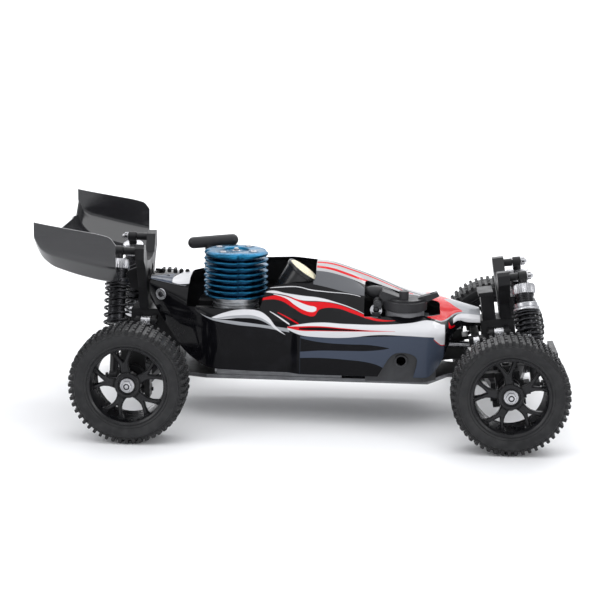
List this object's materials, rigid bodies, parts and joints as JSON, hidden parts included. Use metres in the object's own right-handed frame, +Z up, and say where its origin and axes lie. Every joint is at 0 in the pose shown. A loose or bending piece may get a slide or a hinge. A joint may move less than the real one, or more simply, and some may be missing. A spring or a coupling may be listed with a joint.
{
  "type": "radio controlled off-road buggy",
  "caption": "Off-road model buggy with a nitro engine, sprung wishbones, steering, knobbed tyres, painted shell and a tall rear wing.",
  "frame": {"origin": "on the ground, under the middle of the bounding box", "axes": "+X forward, +Y to the driver's left, +Z up"},
  "size_m": [0.3951, 0.25, 0.157],
  "materials": {
    "plate_alloy": "gunmetal anodised sheet",
    "black_plastic": "moulded black nylon",
    "body_paint": "painted clear shell, black with red, white and slate flames",
    "wing_plastic": "gloss black moulding",
    "alloy": "cast and turned alloy",
    "anodised": "blue anodised",
    "filter_rubber": "gloss black cup with cream foam",
    "tank_plastic": "smoke grey",
    "servo_plastic": "black cases",
    "steel": "turned steel",
    "shock_alloy": "black body with silver cap and collar",
    "spring_steel": "black coated wire",
    "rim_plastic": "satin black",
    "tyre": "knobbed rubber",
    "dark_plastic": "dark grey nylon"
  },
  "bodies": {
    "chassis": {"chassis_plate": "plate_alloy", "front_gearbox": "black_plastic", "rear_gearbox": "black_plastic", "front_tower": "black_plastic", "rear_tower": "black_plastic", "body_shell": "body_paint", "wing": "wing_plastic", "crankcase": "alloy", "cooling_head": "anodised", "air_filter": "filter_rubber", "fuel_tank": "tank_plastic", "exhaust": "alloy", "electronics": "servo_plastic", "front_bumper": "black_plastic"},
    "front_left_arm": {"front_left_arm": "black_plastic"},
    "front_left_upper_link": {"front_left_upper_link": "steel"},
    "front_left_hub_carrier": {"front_left_hub_carrier": "black_plastic"},
    "front_left_shock_rod": {"front_left_shock_rod": "black_plastic"},
    "front_left_drive_shaft": {"front_left_drive_shaft": "steel"},
    "front_left_shock_body": {"front_left_shock_body": "shock_alloy", "front_left_spring": "spring_steel"},
    "front_left_wheel": {"front_left_rim": "rim_plastic", "front_left_tyre": "tyre"},
    "front_left_knuckle": {"front_left_knuckle": "black_plastic"},
    "front_right_arm": {"front_right_arm": "black_plastic"},
    "front_right_upper_link": {"front_right_upper_link": "steel"},
    "front_right_hub_carrier": {"front_right_hub_carrier": "black_plastic"},
    "front_right_shock_rod": {"front_right_shock_rod": "black_plastic"},
    "front_right_drive_shaft": {"front_right_drive_shaft": "steel"},
    "front_right_shock_body": {"front_right_shock_body": "shock_alloy", "front_right_spring": "spring_steel"},
    "front_right_wheel": {"front_right_rim": "rim_plastic", "front_right_tyre": "tyre"},
    "front_right_knuckle": {"front_right_knuckle": "black_plastic"},
    "rear_left_arm": {"rear_left_arm": "black_plastic"},
    "rear_left_upper_link": {"rear_left_upper_link": "steel"},
    "rear_left_hub_carrier": {"rear_left_hub_carrier": "black_plastic"},
    "rear_left_shock_rod": {"rear_left_shock_rod": "black_plastic"},
    "rear_left_drive_shaft": {"rear_left_drive_shaft": "steel"},
    "rear_left_shock_body": {"rear_left_shock_body": "shock_alloy", "rear_left_spring": "spring_steel"},
    "rear_left_wheel": {"rear_left_rim": "rim_plastic", "rear_left_tyre": "tyre"},
    "rear_right_arm": {"rear_right_arm": "black_plastic"},
    "rear_right_upper_link": {"rear_right_upper_link": "steel"},
    "rear_right_hub_carrier": {"rear_right_hub_carrier": "black_plastic"},
    "rear_right_shock_rod": {"rear_right_shock_rod": "black_plastic"},
    "rear_right_drive_shaft": {"rear_right_drive_shaft": "steel"},
    "rear_right_shock_body": {"rear_right_shock_body": "shock_alloy", "rear_right_spring": "spring_steel"},
    "rear_right_wheel": {"rear_right_rim": "rim_plastic", "rear_right_tyre": "tyre"},
    "drag_link": {"drag_link": "black_plastic"},
    "left_tie_rod": {"left_tie_rod": "steel"},
    "right_tie_rod": {"right_tie_rod": "steel"},
    "servo_saver": {"servo_saver": "black_plastic"},
    "centre_drive": {"centre_drive": "steel"},
    "clutch_bell": {"clutch_bell": "steel"},
    "fuel_lid": {"fuel_lid": "dark_plastic"},
    "pull_handle": {"pull_handle": "dark_plastic"}
  },
  "joints": [
    {"name": "front_left_arm_swing", "type": "hinge", "parent": "chassis", "child": "front_left_arm", "pos_m": [0.15449, 0.024, 0.04003], "axis": [0.9903, 0, 0.1392], "range_deg": [-6, 12], "stiffness_Nm_per_rad": 3, "springref_deg": -5.16},
    {"name": "front_left_upper_link_swing", "type": "hinge", "parent": "chassis", "child": "front_left_upper_link", "pos_m": [0.15031, 0.024, 0.06974], "axis": [0.9903, 0, 0.1392], "range_deg": [-6, 12]},
    {"name": "front_left_carrier_level", "type": "hinge", "parent": "front_left_arm", "child": "front_left_hub_carrier", "pos_m": [0.15574, 0.073, 0.03112], "axis": [0.9903, 0, 0.1392], "range_deg": [-12, 6]},
    {"name": "front_left_shock_swing", "type": "hinge", "parent": "chassis", "child": "front_left_shock_body", "pos_m": [0.16555, 0.031, 0.11581], "axis": [0.9903, 0, 0.1392], "range_deg": [-1.7, 2.91]},
    {"name": "front_left_shock_slide", "type": "slide", "parent": "front_left_shock_body", "child": "front_left_shock_rod", "axis": [-0.1292, -0.3714, 0.9194], "range_m": [-0.00391, 0.00752], "deforming": ["front_left_spring"]},
    {"name": "front_left_steer", "type": "hinge", "parent": "front_left_hub_carrier", "child": "front_left_knuckle", "pos_m": [0.154, 0.086, 0.0435], "axis": [-0.1392, 0, 0.9903], "range_deg": [-22, 22]},
    {"name": "front_left_wheel_spin", "type": "hinge", "parent": "front_left_knuckle", "child": "front_left_wheel", "pos_m": [0.154, 0.109, 0.0435], "axis": [0, 1, 0], "continuous": true},
    {"name": "front_left_drive_shaft_spin", "type": "hinge", "parent": "front_left_arm", "child": "front_left_drive_shaft", "pos_m": [0.154, 0.018, 0.0435], "axis": [0, 1, 0], "continuous": true},
    {"name": "front_right_arm_swing", "type": "hinge", "parent": "chassis", "child": "front_right_arm", "pos_m": [0.15449, -0.024, 0.04003], "axis": [-0.9903, 0, -0.1392], "range_deg": [-6, 12], "stiffness_Nm_per_rad": 3, "springref_deg": -5.16},
    {"name": "front_right_upper_link_swing", "type": "hinge", "parent": "chassis", "child": "front_right_upper_link", "pos_m": [0.15031, -0.024, 0.06974], "axis": [-0.9903, 0, -0.1392], "range_deg": [-6, 12]},
    {"name": "front_right_carrier_level", "type": "hinge", "parent": "front_right_arm", "child": "front_right_hub_carrier", "pos_m": [0.15574, -0.073, 0.03112], "axis": [-0.9903, 0, -0.1392], "range_deg": [-12, 6]},
    {"name": "front_right_shock_swing", "type": "hinge", "parent": "chassis", "child": "front_right_shock_body", "pos_m": [0.16555, -0.031, 0.11581], "axis": [-0.9903, 0, -0.1392], "range_deg": [-1.7, 2.91]},
    {"name": "front_right_shock_slide", "type": "slide", "parent": "front_right_shock_body", "child": "front_right_shock_rod", "axis": [-0.1292, 0.3714, 0.9194], "range_m": [-0.00391, 0.00752], "deforming": ["front_right_spring"]},
    {"name": "front_right_steer", "type": "hinge", "parent": "front_right_hub_carrier", "child": "front_right_knuckle", "pos_m": [0.154, -0.086, 0.0435], "axis": [-0.1392, 0, 0.9903], "range_deg": [-22, 22]},
    {"name": "front_right_wheel_spin", "type": "hinge", "parent": "front_right_knuckle", "child": "front_right_wheel", "pos_m": [0.154, -0.109, 0.0435], "axis": [0, 1, 0], "continuous": true},
    {"name": "front_right_drive_shaft_spin", "type": "hinge", "parent": "front_right_arm", "child": "front_right_drive_shaft", "pos_m": [0.154, -0.018, 0.0435], "axis": [0, 1, 0], "continuous": true},
    {"name": "rear_left_arm_swing", "type": "hinge", "parent": "chassis", "child": "rear_left_arm", "pos_m": [-0.124, 0.024, 0.039], "axis": [1, 0, 0], "range_deg": [-6, 12], "stiffness_Nm_per_rad": 4, "springref_deg": -6.3},
    {"name": "rear_left_upper_link_swing", "type": "hinge", "parent": "chassis", "child": "rear_left_upper_link", "pos_m": [-0.124, 0.024, 0.071], "axis": [1, 0, 0], "range_deg": [-6, 12]},
    {"name": "rear_left_carrier_level", "type": "hinge", "parent": "rear_left_arm", "child": "rear_left_hub_carrier", "pos_m": [-0.124, 0.079, 0.031], "axis": [1, 0, 0], "range_deg": [-12, 6]},
    {"name": "rear_left_shock_swing", "type": "hinge", "parent": "chassis", "child": "rear_left_shock_body", "pos_m": [-0.143, 0.034, 0.1275], "axis": [1, 0, 0], "range_deg": [-1.37, 2.23]},
    {"name": "rear_left_shock_slide", "type": "slide", "parent": "rear_left_shock_body", "child": "rear_left_shock_rod", "axis": [0, -0.3116, 0.9502], "range_m": [-0.00424, 0.00819], "deforming": ["rear_left_spring"]},
    {"name": "rear_left_wheel_spin", "type": "hinge", "parent": "rear_left_hub_carrier", "child": "rear_left_wheel", "pos_m": [-0.124, 0.109, 0.0435], "axis": [0, 1, 0], "continuous": true},
    {"name": "rear_left_drive_shaft_spin", "type": "hinge", "parent": "rear_left_arm", "child": "rear_left_drive_shaft", "pos_m": [-0.124, 0.018, 0.0435], "axis": [0, 1, 0], "continuous": true},
    {"name": "rear_right_arm_swing", "type": "hinge", "parent": "chassis", "child": "rear_right_arm", "pos_m": [-0.124, -0.024, 0.039], "axis": [-1, 0, 0], "range_deg": [-6, 12], "stiffness_Nm_per_rad": 4, "springref_deg": -6.3},
    {"name": "rear_right_upper_link_swing", "type": "hinge", "parent": "chassis", "child": "rear_right_upper_link", "pos_m": [-0.124, -0.024, 0.071], "axis": [-1, 0, 0], "range_deg": [-6, 12]},
    {"name": "rear_right_carrier_level", "type": "hinge", "parent": "rear_right_arm", "child": "rear_right_hub_carrier", "pos_m": [-0.124, -0.079, 0.031], "axis": [-1, 0, 0], "range_deg": [-12, 6]},
    {"name": "rear_right_shock_swing", "type": "hinge", "parent": "chassis", "child": "rear_right_shock_body", "pos_m": [-0.143, -0.034, 0.1275], "axis": [-1, 0, 0], "range_deg": [-1.37, 2.23]},
    {"name": "rear_right_shock_slide", "type": "slide", "parent": "rear_right_shock_body", "child": "rear_right_shock_rod", "axis": [0, 0.3116, 0.9502], "range_m": [-0.00424, 0.00819], "deforming": ["rear_right_spring"]},
    {"name": "rear_right_wheel_spin", "type": "hinge", "parent": "rear_right_hub_carrier", "child": "rear_right_wheel", "pos_m": [-0.124, -0.109, 0.0435], "axis": [0, 1, 0], "continuous": true},
    {"name": "rear_right_drive_shaft_spin", "type": "hinge", "parent": "rear_right_arm", "child": "rear_right_drive_shaft", "pos_m": [-0.124, -0.018, 0.0435], "axis": [0, 1, 0], "continuous": true},
    {"name": "drag_link_slide", "type": "slide", "parent": "chassis", "child": "drag_link", "axis": [0, 1, 0], "range_m": [-0.0075, 0.0075]},
    {"name": "left_tie_rod_swing", "type": "hinge", "parent": "drag_link", "child": "left_tie_rod", "pos_m": [0.13247, 0.037, 0.06521], "axis": [0.9903, 0, 0.1392], "range_deg": [-6, 12]},
    {"name": "right_tie_rod_swing", "type": "hinge", "parent": "drag_link", "child": "right_tie_rod", "pos_m": [0.13247, -0.037, 0.06521], "axis": [-0.9903, 0, -0.1392], "range_deg": [-6, 12]},
    {"name": "servo_saver_turn", "type": "hinge", "parent": "chassis", "child": "servo_saver", "pos_m": [0.11296, 0.018, 0.06247], "axis": [-0.1392, 0, 0.9903], "range_deg": [-22, 22]},
    {"name": "centre_drive_spin", "type": "hinge", "parent": "chassis", "child": "centre_drive", "pos_m": [0, 0, 0.054], "axis": [1, 0, 0], "continuous": true},
    {"name": "clutch_bell_spin", "type": "hinge", "parent": "chassis", "child": "clutch_bell", "pos_m": [0, -0.022, 0.06455], "axis": [1, 0, 0], "continuous": true},
    {"name": "fuel_lid_flip", "type": "hinge", "parent": "chassis", "child": "fuel_lid", "pos_m": [0.056, -0.031, 0.0923], "axis": [0, -1, 0], "range_deg": [0, 88]},
    {"name": "pull_handle_draw", "type": "slide", "parent": "chassis", "child": "pull_handle", "axis": [0, 0, 1], "range_m": [0, 0.2]}
  ],
  "couplings": [
    {"joint": "front_left_upper_link_swing", "follows": "front_left_arm_swing", "ratio": 1},
    {"joint": "front_left_carrier_level", "follows": "front_left_arm_swing", "ratio": -1},
    {"joint": "front_left_shock_swing", "follows": "front_left_arm_swing", "ratio": 0.20069},
    {"joint": "front_left_shock_slide", "follows": "front_left_arm_swing", "m_per_rad": 0.034477},
    {"joint": "front_left_drive_shaft_spin", "follows": "front_left_wheel_spin", "ratio": 1},
    {"joint": "front_right_upper_link_swing", "follows": "front_right_arm_swing", "ratio": 1},
    {"joint": "front_right_carrier_level", "follows": "front_right_arm_swing", "ratio": -1},
    {"joint": "front_right_shock_swing", "follows": "front_right_arm_swing", "ratio": 0.20069},
    {"joint": "front_right_shock_slide", "follows": "front_right_arm_swing", "m_per_rad": 0.034477},
    {"joint": "front_right_steer", "follows": "front_left_steer", "ratio": 1},
    {"joint": "front_right_drive_shaft_spin", "follows": "front_right_wheel_spin", "ratio": 1},
    {"joint": "rear_left_upper_link_swing", "follows": "rear_left_arm_swing", "ratio": 1},
    {"joint": "rear_left_carrier_level", "follows": "rear_left_arm_swing", "ratio": -1},
    {"joint": "rear_left_shock_swing", "follows": "rear_left_arm_swing", "ratio": 0.1444},
    {"joint": "rear_left_shock_slide", "follows": "rear_left_arm_swing", "m_per_rad": 0.037664},
    {"joint": "rear_left_drive_shaft_spin", "follows": "rear_left_wheel_spin", "ratio": 1},
    {"joint": "rear_right_upper_link_swing", "follows": "rear_right_arm_swing", "ratio": 1},
    {"joint": "rear_right_carrier_level", "follows": "rear_right_arm_swing", "ratio": -1},
    {"joint": "rear_right_shock_swing", "follows": "rear_right_arm_swing", "ratio": 0.1444},
    {"joint": "rear_right_shock_slide", "follows": "rear_right_arm_swing", "m_per_rad": 0.037664},
    {"joint": "rear_right_drive_shaft_spin", "follows": "rear_right_wheel_spin", "ratio": 1},
    {"joint": "drag_link_slide", "follows": "front_left_steer", "m_per_rad": -0.018537},
    {"joint": "left_tie_rod_swing", "follows": "front_left_arm_swing", "ratio": 1},
    {"joint": "right_tie_rod_swing", "follows": "front_right_arm_swing", "ratio": 1},
    {"joint": "servo_saver_turn", "follows": "front_left_steer", "ratio": -1},
    {"joint": "clutch_bell_spin", "follows": "centre_drive_spin", "ratio": -2.5882}
  ]
}
